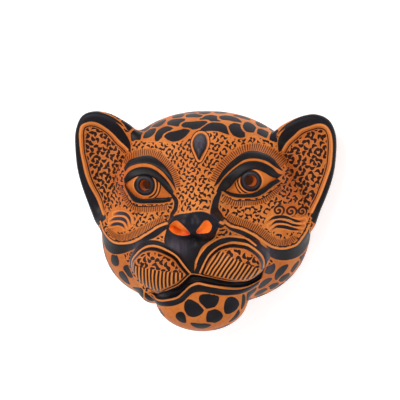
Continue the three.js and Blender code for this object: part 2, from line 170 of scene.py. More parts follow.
# ---- spots: (across, out, up), half length and half width, and tilt of the length in degrees ----
CROWN_SPOTS = [
    ((-61, 29, 72), 5.4, 4.0, 90), ((-49, 30, 73.5), 5.2, 4.2, 65), ((-36.5, 36, 75.5), 7.4, 3.8, 62),
    ((-25, 29, 83.5), 6, 5.4, 20), ((-21.5, 44, 72), 9.5, 4.6, 14), ((-7.5, 36, 81), 10, 4.2, 14),
    ((-11, 20, 89.5), 7, 3.4, -10), ((6.5, 26, 87.5), 6.6, 4.2, -8), ((23, 22, 87), 9, 4, -3),
    ((12.5, 37, 80), 10, 4.6, -4), ((30.5, 36, 77.5), 7.4, 5.4, 90), ((42, 28, 79), 6, 5, 60),
    ((54, 25, 74), 5, 4.2, -30), ((64, 29, 71), 6, 3.2, 100), ((-70, 27, 80.5), 5.6, 4, -35),
]
CHIN_SPOTS = [
    ((12.5, 80, -70.5), 8.6, 6.6, 0), ((-2, 80, -78), 8.8, 7.2, -30), ((16.5, 77, -85), 7.8, 7.2, 90),
    ((32.5, 73, -75), 8.1, 7.2, 20), ((-13.5, 75, -86.5), 6.2, 4.8, 90), ((4, 71, -94), 9, 4.4, -5),
    ((-32, 60, -84), 4.2, 3.6, -30), ((44.5, 61, -74), 6.8, 3, 75), ((35, 63, -88), 7.2, 3.2, 50),
    ((21, 58, -99), 7.5, 4, 5), ((-22, 57, -98), 6.5, 4, -30),
]
JAW_SPOTS = [
    ((-81.5, 18, -50), 6.6, 3.6, 110), ((-72, 17, -64), 6.6, 4, -30), ((-91.5, 19, -42), 5.6, 3.8, 105),
    ((70, 35, -50), 7, 4, 60), ((57.5, 41, -60), 5.6, 3.6, 40), ((83, 22, -48), 6.6, 3.6, 45),
    ((-59.5, 17, -77), 6.6, 3.6, -35),
]


# ---- fields over the grid: negative inside the clay ----
def smooth_min(a, b, k):
    h = np.clip(0.5 + 0.5 * (b - a) / k, 0, 1)
    return b + (a - b) * h - k * h * (1 - h)


def smooth_max(a, b, k):
    return -smooth_min(-a, -b, k)


def rise(value, low, high):
    """0 below low, 1 above high, and smooth between."""
    t = np.clip((value - low) / (high - low), 0, 1)
    return t * t * (3 - 2 * t)


def window(centre, reach):
    """The slices of the grid within reach of a point, with their coordinates."""
    cut = []
    for axis, middle, half in zip(AXES, centre, reach):
        low, high = np.searchsorted(axis, (middle - half, middle + half))
        cut.append(slice(int(low), int(high)))
    return tuple(cut), (ACROSS[cut[0]], OUT[:, cut[1]], UP[:, :, cut[2]])


def ellipsoid(at, radii, tilt=0.0):
    """The distance to an ellipsoid turned by tilt degrees in the wall's plane, its middle and its reach."""
    def field(x, d, z):
        c, s = math.cos(math.radians(tilt)), math.sin(math.radians(tilt))
        u = (x - at[0]) * c + (z - at[2]) * s
        w = (z - at[2]) * c - (x - at[0]) * s
        v = d - at[1]
        near = np.sqrt((u / radii[0]) ** 2 + (v / radii[1]) ** 2 + (w / radii[2]) ** 2)
        slope = np.sqrt(
            (u / radii[0] ** 2) ** 2 + (v / radii[1] ** 2) ** 2 + (w / radii[2] ** 2) ** 2
        ) + 1e-6
        return near * (near - 1) / slope
    return field, at, max(radii)


def round_cone(a, b, ra, rb):
    a, b = np.array(a, float), np.array(b, float)
    run = b - a

    def field(x, d, z):
        t = ((x - a[0]) * run[0] + (d - a[1]) * run[1] + (z - a[2]) * run[2]) / (run @ run)
        t = np.clip(t, 0, 1)
        away = (x - a[0] - t * run[0]) ** 2 + (d - a[1] - t * run[1]) ** 2 + (z - a[2] - t * run[2]) ** 2
        return np.sqrt(away) - (ra + (rb - ra) * t)
    return field, (a + b) / 2, max(ra, rb) + np.linalg.norm(run) / 2


def dome(grow):
    """The head's own dome as a distance, bigger all round by grow."""
    x, z = ACROSS[:, :, 0], UP[:, 0]
    tall = np.where(z > 0, HEAD_TOP, HEAD_BOTTOM)
    norm = np.abs(x / HEAD_HALF_WIDTH) ** OUTLINE_POWER + np.abs(z / tall) ** OUTLINE_POWER
    radius = np.hypot(x, z) + 1e-6
    edge = radius * (norm + 1e-9) ** (-1 / OUTLINE_POWER) + grow
    for angle, spread, fuller in JAWS:
        turn = (np.degrees(np.arctan2(z, x)) - angle + 180) % 360 - 180
        edge = edge + fuller * np.cos(np.clip(turn / spread, -1, 1) * math.pi / 2) ** 2
    flat = (radius / edge) ** DOME_POWER_ACROSS
    flat_slope = np.hypot(*np.gradient(flat, STEP))
    depth = np.abs(OUT[0, :, 0]) / (HEAD_DEPTH + grow)
    deep = depth ** DOME_POWER_DEEP
    deep_slope = DOME_POWER_DEEP * depth ** (DOME_POWER_DEEP - 1) / (HEAD_DEPTH + grow)
    power = 1 / 2.4
    total = flat[:, None] + deep[None, :, None] + 1e-9
    slope = power * total ** (power - 1) * np.hypot(flat_slope[:, None], deep_slope[None, :, None])
    return ((total ** power - 1) / (slope + 1e-6)).astype(np.float32)


def blend_in(field, shape, k):
    """Joins a shape to the clay with a fillet of about k."""
    formula, at, reach = shape
    cut, coordinates = window(at, [reach + 2.5 * k] * 3)
    field[cut] = smooth_min(field[cut], formula(*coordinates), k)


# ---- lines over the face ----
def curve(points, closed=False, parts=5):
    """A smooth line through the points."""
    p = np.array(points, float)
    if closed:
        p = np.vstack([p[-1:], p, p[:2]])
    else:
        p = np.vstack([2 * p[0] - p[1], p, 2 * p[-1] - p[-2]])
    t = np.linspace(0, 1, parts, endpoint=False)[:, None]
    found = []
    for a, b, c, e in zip(p, p[1:], p[2:], p[3:]):
        found.append(0.5 * (2 * b + (c - a) * t + (2 * a - 5 * b + 4 * c - e) * t ** 2
                            + (3 * b - a - 3 * c + e) * t ** 3))
    if not closed:
        found.append(p[-2:-1])
    return np.vstack(found)


def along(path, x, z):
    """For each place its distance from the path, how far along and on which side; and the path's length."""
    best = np.full(x.shape, 1e9)
    run, side = np.zeros(x.shape), np.zeros(x.shape)
    walked = 0.0
    for (ax, az), (bx, bz) in zip(path, path[1:]):
        ex, ez = bx - ax, bz - az
        length = math.hypot(ex, ez) + 1e-9
        px, pz = x - ax, z - az
        t = np.clip((px * ex + pz * ez) / length ** 2, 0, 1)
        gap = (px - t * ex) ** 2 + (pz - t * ez) ** 2
        near = gap < best
        best = np.where(near, gap, best)
        run = np.where(near, walked + t * length, run)
        side = np.where(near, ex * pz - ez * px, side)
        walked += length
    return np.sqrt(best), run, np.sign(side), walked


def inside(outline, x, z):
    """The distance inside a closed outline, negative outside it."""
    ring = np.vstack([outline, outline[:1]])
    gap, _, _, _ = along(ring, x, z)
    odd = np.zeros(x.shape, bool)
    for (ax, az), (bx, bz) in zip(ring, ring[1:]):
        crosses = (az <= z) != (bz <= z)
        with np.errstate(divide="ignore", invalid="ignore"):
            odd ^= crosses & (x < ax + (z - az) * (bx - ax) / (bz - az if bz != az else 1e9))
    return np.where(odd, gap, -gap)


def line(name):
    return curve(LINES[name])


def stroke_gap(name, x, z):
    return along(line(name), x, z)[0]


def between(upper, lower):
    """The closed outline between two lines that run the same way."""
    return np.vstack([line(upper), line(lower)[::-1]])


def band(name, half, x, z, taper):
    """The distance inside a brush stroke whose half width falls by taper at its two ends."""
    gap, run, _, total = along(line(name), x, z)
    ends = np.minimum(run, total - run) / total
    return half * (1 - taper * (1 - rise(ends, 0, 0.3))) - gap


EYE_RINGS = {side: between(f"lid_top.{side}", f"lid_bottom.{side}") for side in SIDES}
BROW_RINGS = {side: between(f"brow_top.{side}", f"brow_low.{side}") for side in SIDES}
LID_RINGS = {side: between(f"lid_line.{side}", f"lid_top.{side}") for side in SIDES}
UNDER_RINGS = {side: between(f"lid_bottom.{side}", f"under_lid.{side}") for side in SIDES}
BROW_GAPS = {side: between(f"brow_low.{side}", f"lid_line.{side}") for side in SIDES}
PAD_RINGS = {
    side: np.vstack([line(f"pad_top.{side}"), line(f"pad_bottom.{side}")[1:]])
    for side in SIDES
}
MUZZLE_RING = np.vstack([line("nose_top"), line("muzzle.right"), line("muzzle.left")[::-1]])
LIP_RING = between("lip_top", "lip_low")
CHEEK_RINGS = {side: between(f"cheek_line.{side}", f"cheek_low.{side}") for side in SIDES}
BOSS_RING = curve(LINES["boss"], closed=True)
NOSTRIL_RINGS = {side: curve(LINES[f"nostril.{side}"], closed=True) for side in SIDES}
EAR_OUTLINES = {
    "left": [(-58, 62), (-64, 76), (-74, 84), (-88, 91), (-102, 93), (-113.5, 88.5), (-119.5, 75),
        (-120, 58), (-117.5, 36), (-110, 12), (-100, -9), (-87, -4), (-78, 14), (-68, 34)],
    "right": [(59, 62), (65, 76), (75, 83.5), (89, 89.5), (101, 91), (112.5, 86), (118.5, 74),
        (119.5, 58), (117, 36), (109, 12), (98.5, -9), (87, -4), (79, 14), (69, 34)],
}
EAR_RINGS = {side: curve(EAR_OUTLINES[side], closed=True, parts=6) for side in SIDES}
# the patterned face: the spots lie outside it. Of each lower cheek line only the outer points count.
FACE_RING = np.vstack([
    line("face_top"), [(84, 66), (112, 60), (110, 18), (98, -12)],
    line("cheek_low.right")[::-1][:28], [(66, -40), (60, -43)],
    line("lip_low")[::-1], [(-53, -69), (-61, -58), (-66, -44), (-72, -36.5)],
    line("cheek_low.left")[:18][::-1], [(-97, -10), (-108, 18), (-111, 60), (-84, 66)],
])


# ---- how far the modelled and incised lines stand out, over the front of the face ----
RAISED_RINGS = (   # outlines, height, and the distances inside between which it rises
    (BROW_RINGS, 1.4, -1.2, 1.6), (LID_RINGS, 1.0, -0.8, 1.4), (UNDER_RINGS, 1.0, -0.8, 1.0),
)
RAISED_LINES = (   # line, height (below 0 for a groove) and half width
    ("cheek_line", 1.2, 4.5), ("pad_top", -1.4, 1.8),
    *[(f"volute_{number}", 0.8, 1.3) for number in range(VOLUTES)],
)
NOSE_MIDDLE = 0.2   # across


def ridge(name, height, half, x, z):
    return height * np.exp(-(stroke_gap(name, x, z) / half) ** 2)


def relief():
    x, z = FRONT_X, FRONT_Z
    raised = np.zeros(x.shape)
    for side in SIDES:
        for rings, height, low, high in RAISED_RINGS:
            raised += height * rise(inside(rings[side], x, z), low, high)
        for name, height, half in RAISED_LINES:
            raised += ridge(f"{name}.{side}", height, half, x, z)
    raised += ridge("nose_top", 1.1, 1.8, x, z)
    valley = rise(z, -24, -13) * (1 - rise(z, 3, 9))
    raised -= 2.6 * np.exp(-((x - NOSE_MIDDLE) / 4.2) ** 2) * valley
    raised += 1.6 * np.exp(-((np.abs(x - NOSE_MIDDLE) - 20) / 4.5) ** 2 - ((z + 5) / 8) ** 2)
    for across, up, radius in CURLS:
        raised += 0.8 * rise(radius - np.hypot(x - across, z - up), -0.8, 1.2)
    boss = inside(BOSS_RING, x, z)
    raised += 3.6 * np.sqrt(rise(boss, -0.6, 7)) - 0.8 * np.exp(-((boss + 1.2) / 0.9) ** 2)
    raised += ridge("mouth", -1.2, 1.4, x, z)
    raised -= 3.0 * rise(inside(between("mouth", "lip_top"), x, z), 0, 2.8)
    raised += 1.3 * np.sqrt(rise(inside(LIP_RING, x, z), -0.8, 2.5))
    return raised.astype(np.float32)


SNOUT = ellipsoid((1, 40, -30), (58, 46, 46))
NOSE = ellipsoid((2, 88, -1), (22, 17, 13))
PADS = {
    "left": ellipsoid((-30, 68, -43), (31, 26, 22), -16),
    "right": ellipsoid((33, 68, -36), (31, 26, 20), 9),
}
CHIN = ellipsoid((1.0, 48, -74), (41.6, 33, 29.5))
EAR_BACK, EAR_THICK = 27.0, 9.0
EAR_FRONT_LIMIT = 36.0   # clay farther out than this at the temples is the face's
# the part of the grid that holds each ear: its columns across, and its layers out from the wall
EAR_COLUMNS = {"left": slice(0, 98), "right": slice(207, None)}
EAR_LAYERS, EAR_SHARE_LAYERS = slice(0, 50), slice(0, 62)
SWELLINGS = (   # cheekbones: middle and radii
    ((-79, 22, -8), (17, 19, 17)), ((81, 22, -6), (17, 19, 17)),
)


def ear_front(side):
    """Maps over the face: how far out the bowl of an ear's front lies, and the distance inside the ear."""
    into = inside(EAR_RINGS[side], FRONT_X, FRONT_Z)
    bowl = EAR_BACK + 2 * np.exp(-((into - 5) / 6) ** 2) - 5 * rise(into, 6, 22)
    return bowl, into


EAR_FRONTS = {side: ear_front(side) for side in SIDES}


def clay_mass():
    """The outside of the whole head, without the incised lines."""
    field = MASS_DOME.copy()
    blend_in(field, SNOUT, 18)
    blend_in(field, round_cone((1, 45, 46), (1.5, 75, 4), 18, 17), 18)
    for side in SIDES:
        eye = EYES[side]
        blend_in(field, ellipsoid((eye["at"][0], 42, eye["at"][2] + 1), (31, 20, 21), eye["tilt"]), 10)
    for at, radii in SWELLINGS:
        blend_in(field, ellipsoid(at, radii), 8)
    blend_in(field, CHIN, 12)
    blend_in(field, ellipsoid((-45.5, 26, -71.5), (14.5, 18, 12.5)), 6)
    for side in SIDES:
        blend_in(field, PADS[side], 4)
        columns = EAR_COLUMNS[side]
        near = (columns, EAR_LAYERS)
        bowl, into = [picture[columns][:, None] for picture in EAR_FRONTS[side]]
        slab = np.abs(OUT[:, EAR_LAYERS] - (bowl - EAR_THICK / 2)) - EAR_THICK / 2
        field[near] = smooth_min(field[near], smooth_max(slab, -into, 4), 10)
    blend_in(field, NOSE, 7)
    return field


def prism(outline, grow=0.0):
    """The distance outside an outline carried straight out from the wall."""
    return -(inside(outline, FRONT_X, FRONT_Z) + grow).astype(np.float32)[:, None, :]


MASS_DOME = dome(0)
MASS = clay_mass()
LIFT = rise(OUT, 14, 26)
SKIN = MASS - relief()[:, None, :] * LIFT
for side in SIDES:
    pit = inside(NOSTRIL_RINGS[side], FRONT_X, FRONT_Z)
    SKIN += (4.5 * np.sqrt(rise(pit, -0.5, 5.5)))[:, None].astype(np.float32) * LIFT
    SKIN = smooth_max(SKIN, np.minimum(-prism(EYE_RINGS[side]), (OUT - 30)), 1.2)
HOLLOW = dome(-WALL)
blend_in(HOLLOW, ellipsoid((1, 36, -30), (46, 37, 33)), 10)
blend_in(HOLLOW, round_cone((1, 40, 40), (1.5, 60, 4), 11, 10), 10)
SHELL = smooth_max(np.maximum(SKIN, -OUT), -HOLLOW, 2.5).astype(np.float32)
SHELL = np.maximum(SHELL, -OUT)


# ---- from fields to closed pieces ----
def surface(field, low):
    """A closed quad mesh on the zero of a field, with its vertices in millimetres."""
    held = field < 0
    count = sum(
        held[i:held.shape[0] - 1 + i, j:held.shape[1] - 1 + j, k:held.shape[2] - 1 + k].astype(np.uint8)
        for i in (0, 1) for j in (0, 1) for k in (0, 1)
    )
    mixed = (count > 0) & (count < 8)
    cell = np.stack(np.nonzero(mixed), 1)
    index = np.full(mixed.shape, -1, np.int32)
    index[mixed] = np.arange(len(cell))
    total, crossings = np.zeros((len(cell), 3)), np.zeros(len(cell))
    for corner in np.ndindex(2, 2, 2):
        for axis in range(3):
            if corner[axis]:
                continue
            other = list(corner)
            other[axis] = 1
            start = field[tuple((cell + corner).T)]
            end = field[tuple((cell + other).T)]
            cut = (start < 0) != (end < 0)
            part = np.where(cut, start / np.where(cut, start - end, 1), 0)
            for q in range(3):
                total[:, q] += np.where(cut, corner[q] + (part if q == axis else 0), 0)
            crossings += cut
    points = (total / crossings[:, None] + cell) * STEP + low
    faces = []
    for axis in range(3):
        inner = tuple(slice(1, n - 1) if q != axis else slice(0, n - 1) for q, n in enumerate(field.shape))
        outer = tuple(slice(1, n - 1) if q != axis else slice(1, n) for q, n in enumerate(field.shape))
        first, second = held[inner], held[outer]
        spot = np.stack(np.nonzero(first != second), 1)
        flip = second[tuple(spot.T)]
        spot = spot + [0 if q == axis else 1 for q in range(3)]
        u, v = (axis + 1) % 3, (axis + 2) % 3
        quad = []
        for du, dv in ((0, 0), (1, 0), (1, 1), (0, 1)):
            at = spot.copy()
            at[:, u] -= du
            at[:, v] -= dv
            quad.append(index[tuple(at.T)])
        quad = np.stack(quad, 1)
        quad[flip] = quad[flip][:, ::-1]
        faces.append(quad)
    return points, np.concatenate(faces)


TUCK = 2.0        # how far a piece runs on under its neighbours
TUCK_SLOPE = 0.1  # and how fast it sinks there, so that only one of them shows


def cut_piece(boundary, low_index=(0, 0, 0), field=None):
    """The part of the shell where boundary is negative, as a mesh."""
    shell = SHELL if field is None else field
    piece = np.maximum(shell + TUCK_SLOPE * np.clip(boundary, 0, TUCK), boundary - TUCK)
    low = GRID_LOW + np.array(low_index) * STEP
    return surface(piece, low)


REGIONS = {}   # piece: the distance outside its share of the clay, and the window that holds it


def share(name, field, centre, reach, finish="orange_clay"):
    REGIONS[name] = (field, centre, reach, finish)


def grown(shape, grow):
    return lambda x, d, z: shape[0](x, d, z) - grow


def column(outline, grow, floor):
    """A share of the clay under an outline, from the front down to floor."""
    outside = prism(outline, grow)

    def field(x, d, z):
        i, k = [int(round(float(c.flat[0] - axis[0]) / STEP)) for c, axis in ((x, AXES[0]), (z, AXES[2]))]
        return np.maximum(outside[i:i + x.shape[0], :, k:k + z.shape[2]], floor - d)
    return field


def reach_of(outline, deep=(60, 45)):
    low, high = outline.min(0) - 6, outline.max(0) + 6
    centre = ((low[0] + high[0]) / 2, deep[0], (low[1] + high[1]) / 2)
    return centre, ((high[0] - low[0]) / 2, deep[1], (high[1] - low[1]) / 2)


share("nose", grown(NOSE, 1.2), NOSE[1], (32, 30, 26), "black_slip")
share("lower_lip", column(between("mouth", "lip_low"), 1.0, 38), *reach_of(LIP_RING), "black_slip")
for side in SIDES:
    share(f"muzzle_pad_{side}", grown(PADS[side], 1.0), PADS[side][1], (40, 38, 36))
share("chin", grown(CHIN, 1.5), CHIN[1], (54, 46, 42))
share("forehead_boss", column(BOSS_RING, 1.4, 28), *reach_of(BOSS_RING, (45, 25)), "black_slip")
EYE_PIECES = {"brow_ridge": BROW_RINGS, "upper_eyelid": LID_RINGS, "lower_eyelid": UNDER_RINGS}
for side in SIDES:
    for piece, rings in EYE_PIECES.items():
        ring = rings[side]
        share(f"{piece}_{side}", column(ring, 1.0, 34), *reach_of(ring, (55, 28)), "black_slip")

MESHES = {}
TAKEN = np.full(SHELL.shape, 60, np.float32)
for name, (formula, centre, reach, finish) in REGIONS.items():
    cut, coordinates = window(centre, reach)
    share_field = formula(*coordinates).astype(np.float32)
    boundary = np.maximum(share_field, -TAKEN[cut])
    MESHES[name] = cut_piece(boundary, [c.start for c in cut], SHELL[cut])
    TAKEN[cut] = np.minimum(TAKEN[cut], share_field)
for side in SIDES:
    columns = EAR_COLUMNS[side]
    cut = (columns, EAR_SHARE_LAYERS, slice(None))
    beyond_outline = -(EAR_FRONTS[side][1][columns][:, None] + 2.5)
    share_field = np.maximum(beyond_outline, 2.5 - MASS_DOME[cut])
    share_field = np.maximum(share_field, OUT[:, EAR_SHARE_LAYERS] - EAR_FRONT_LIMIT).astype(np.float32)
    boundary = np.maximum(share_field, -TAKEN[cut])
    MESHES[f"ear_{side}"] = cut_piece(boundary, [c.start or 0 for c in cut], SHELL[cut])
    TAKEN[cut] = np.minimum(TAKEN[cut], share_field)
MESHES["face_shell"] = cut_piece(-TAKEN)


def eyeball(side):
    """The ball under the lids, with the pupil bored through into the hollow of the head."""
    eye = EYES[side]
    cut, (x, d, z) = window((eye["at"][0], 52, eye["at"][2]), (32, 26, 24))
    base = MASS[cut]
    ball, _, _ = ellipsoid((eye["at"][0], 48.5, eye["at"][2]), (22, 14.5, 14), eye["tilt"])
    front = smooth_min(base + 2.2, ball(x, d, z), 1.5)
    ring = prism(EYE_RINGS[side], 1.6)[cut[0], :, cut[2]]
    deep = np.clip(-base - 2, 0, 9)
    lean = deep * (0.25 if side == "left" else -0.5)
    bore = PUPIL - 0.5 * rise(deep, 0, 2.5) - 0.1 * deep
    pupil = bore - np.hypot(x - eye["pupil"][0] - lean, z - eye["pupil"][1])
    whole = np.maximum(np.maximum(front, ring), -(base + 8.5))
    return surface(smooth_max(whole, pupil + 0 * whole, 0.8), GRID_LOW + [c.start * STEP for c in cut])


for side in SIDES:
    MESHES[f"eyeball_{side}"] = eyeball(side)


# ---- painting: what the slip and the graver did, with painted sheen and shade, as distances in millimetres at each vertex ----
def sample(field, points):
    """The field's value at points between its grid nodes."""
    place = np.clip((points - GRID_LOW) / STEP, 0, np.array(field.shape) - 1.001)
    low = place.astype(int)
    part = place - low
    total = np.zeros(len(points))
    for corner in np.ndindex(2, 2, 2):
        weight = np.prod(np.where(corner, part, 1 - part), 1)
        total += weight * field[tuple((low + corner).T)]
    return total


def wobble(a, b, size, wave):
    """A hand's slow unsteadiness."""
    slow = np.sin(a / wave + 1.3 * np.sin(b / wave * 0.7))
    return size * (slow + 0.6 * np.sin(b / wave * 1.9 + a / wave * 0.6))


SPOT_SEED = 11
SPOT_SPACING = 12.5
SPOT_TRIES = 16000
HALF_LENGTHS, HALF_WIDTHS = (5.6, 8.2), (4.0, 5.4)   # of the spots that chance places
CHOSEN_SPOTS = ((CROWN_SPOTS, 2.6), (CHIN_SPOTS, 0.4), (JAW_SPOTS, 1.8))   # and how far they spread
CHANCE_SPREAD = 1.2
WEB = 1.7   # the clay left between neighbours


def spot_list(points, normals):
    """Every spot: its centre, long and short axes over the surface, and half sizes."""
    spots = []
    chosen = [(spot, spread) for group, spread in CHOSEN_SPOTS for spot in group]
    for ((across, out, up), long, short, tilt), spread in chosen:
        at = np.array([across, out, up])
        nearest = np.argmin(((points - at) ** 2).sum(1))
        angle = math.radians(tilt)
        direction = np.array([math.cos(angle), 0, math.sin(angle)])
        spots.append((points[nearest], normals[nearest], direction, long, short, spread))
    chance = np.random.default_rng(SPOT_SEED)
    order = chance.permutation(len(points))
    centres = np.array([s[0] for s in spots])
    for number in order[:SPOT_TRIES]:
        at = points[number]
        gap = ((centres - at) ** 2).sum(1).min()
        on_chin = at[1] > 56 and at[2] < -60
        if gap < SPOT_SPACING ** 2 or on_chin:
            continue
        long = chance.uniform(*HALF_LENGTHS)
        direction = chance.normal(size=3)
        short = chance.uniform(*HALF_WIDTHS)
        spots.append((at, normals[number], direction, long, short, CHANCE_SPREAD))
        centres = np.vstack([centres, at])
    found = []
    for at, normal, direction, long, short, spread in spots:
        run = direction - normal * (direction @ normal)
        run /= np.linalg.norm(run)
        found.append((at, run, np.cross(normal, run), normal, long, short, spread))
    return found


def spot_depth(points, spots):
    """How far inside a black spot each point is."""
    first, second = np.full(len(points), 1e3), np.full(len(points), 1e3)
    for at, run, cross, normal, long, short, spread in spots:
        away = points - at
        u, v, w = away @ run, away @ cross, away @ normal
        bean = v + 0.035 * u * u * np.sign(math.sin(at[0] * 3 + at[2]))
        away = np.sqrt((u / long) ** 2 + (bean / short) ** 2 + (w / long) ** 2)
        out = (away - 1) * math.sqrt(long * short) - spread
        second = np.minimum(second, np.maximum(out, first))
        first = np.minimum(first, out)
    return np.minimum(-first, (second - first) / 2 - WEB / 2)


def union(*fields):
    return np.maximum.reduce(fields)


def blank(x):
    return np.full(len(x), -99.0)


EARS_FROM = 66        # the ears lie farther across than this
CURL_TURNS = 1.7
PAD_LINE_THINS = {"left": 0.55, "right": 0.85}   # how far along its edge a pad's outline starts to thin
HATCHES = (   # the line that the strokes stand on, their height, and the side of it
    ("brow_top.left", 7.5, 1), ("brow_top.right", 8, 1), ("under_line.left", 6.5, -1),
    ("under_line.right", 6, -1), ("hatch_cheek.left", 7.5, 1), ("hatch_cheek.right", 7.5, 1),
)
EAR_DARKS = {
    "left": [(-112, 97), (-124, 86), (-124, 50), (-114, 16), (-99, -10), (-91, -4)],
    "right": [(113, 97), (125, 86), (125, 50), (116, 18), (104, -6), (97, 0)],
}


def ear_zones(x, z, x0, d, z0):
    """How deep each place is in an ear's bowl and in its rim, and whether it is on an ear's back."""
    bowl, rim = blank(x), blank(x)
    behind = np.zeros(len(x), bool)
    at_ear = np.abs(x0) > EARS_FROM
    for side in SIDES:
        depth, into = [sample_front(picture, x0, z0) for picture in EAR_FRONTS[side]]
        behind |= at_ear & (into > -3) & (d < depth - 5.5)
        rim = np.maximum(rim, np.where(at_ear & (into > -6), np.minimum(4 - into, d - depth + 6.5), -9))
        bowl = np.maximum(bowl, inside(line(f"ear_line.{side}"), x, z))
    return bowl, rim, behind


def side_outlines(side, x, z, bowl, rim):
    """The black bands, pale lines and thin dark lines of one side of the face, and the ear's black edge."""
    black = union(*[inside(ring[side], x, z) for ring in (BROW_RINGS, LID_RINGS, UNDER_RINGS, CHEEK_RINGS)])
    black = union(black, band(f"tear.{side}", 2.7, x, z, 0.25))
    ear_gap = stroke_gap(f"ear_line.{side}", x, z)
    edge, inner = line(f"ear_edge.{side}"), line(f"ear_line.{side}")
    ear = inside(np.vstack([edge, EAR_DARKS[side], inner[::-1]]), x, z)
    edging = np.minimum(ear + 2.5, rim)
    cheek_gap, _, cheek_side, _ = along(line(f"cheek_line.{side}"), x, z)
    light = union(0.9 - ear_gap, 0.85 - cheek_gap)
    dark = union(
        np.where(bowl > 0, 0.6 - np.abs(ear_gap - 3.1), -9),
        np.where(cheek_side > 0, 0.55 - np.abs(cheek_gap - 1.9), -9),
        band(f"under_line.{side}", 0.55, x, z, 0.5),
    )
    pad = inside(PAD_RINGS[side], x, z)
    pad_gap, pad_run, _, pad_total = along(line(f"pad_top.{side}"), x, z)
    thin = 1 - rise(pad_run / pad_total, PAD_LINE_THINS[side], 1)
    pad_edge = np.where(pad > 0, 2.0 + 1.0 * thin - pad_gap, 1.2 + 3.6 * thin - pad_gap)
    black = union(black, ear, pad_edge)
    light = union(light, 0.35 + 0.4 * thin - pad_gap)
    for number in range(VOLUTES):
        name = f"volute_{number}.{side}"
        black = union(black, band(name, 1.6, x, z, 0.8))
        light = union(light, 0.45 - np.abs(stroke_gap(name, x, z) - 2.1))
    return black, light, dark, edging


def middle_outlines(x, z):
    """The same for the nose, the lips and the boss."""
    boss = inside(BOSS_RING, x, z)
    black = union(
        inside(MUZZLE_RING, x, z), inside(between("outer.right", "pad_top.right"), x, z),
        inside(between("mouth", "lip_low"), x, z), band("mouth", 2.0, x, z, 0.6), boss,
    )
    light = union(
        band("lip_top", 0.8, x, z, 0.5), band("mouth", 0.45, x, z, 0.3),
        0.6 - stroke_gap("outer.right", x, z), 0.6 - np.abs(boss + 1.3),
    )
    return black, light, 0.5 - np.abs(boss + 2.4)


def curl(across, up, radius, x, z):
    """How deep inside the dark line of a spiral each place is."""
    away = np.hypot(x - across, z - up)
    turn = np.arctan2(z - up, x - across) / (2 * math.pi)
    from_line = np.abs((away / radius * CURL_TURNS + turn) % 1 - 0.5) * radius / CURL_TURNS
    return 0.95 - from_line - 9 * (away > radius)


def hatching(x, z):
    """How strong the hatching is, and how far along its line each place lies."""
    hatch, hatch_at = np.zeros(len(x)), np.zeros(len(x))
    for name, height, way in HATCHES:
        gap, run, side_of, total = along(line(name), x, z)
        rising = np.where(side_of * way > 0, gap, -gap)
        ends = np.minimum(run, total - run)
        zone = rise(rising, -0.2, 0.4) * (1 - rise(rising, height * 0.3, height * 1.2)) * rise(ends, 0.1, 5)
        hatch_at = np.where(zone > hatch, run, hatch_at)
        hatch = np.maximum(hatch, zone)
    return hatch, hatch_at


def hill(value, middle, width):
    return ((value - middle) / width) ** 2


def sheen_and_wear_field(x, z, boss, muzzle):
    """How strongly the black slip turns grey and mauve: painted sheen, with some slip rubbed thin."""
    sheen_and_wear = 0.9 * rise(boss, 0.5, 4) + 0.8 * np.exp(-hill(x, -79, 15) - hill(z, -1, 11))
    sheen_and_wear += 0.8 * np.exp(-hill(x, -16, 11) - hill(z, -22, 9)) * rise(muzzle, 0, 3)
    sheen_and_wear += 0.75 * np.exp(-hill(x, -57, 7) - hill(z, -44, 24))
    return sheen_and_wear + 0.75 * np.exp(-hill(x, 60, 8) - hill(z, -38, 22))


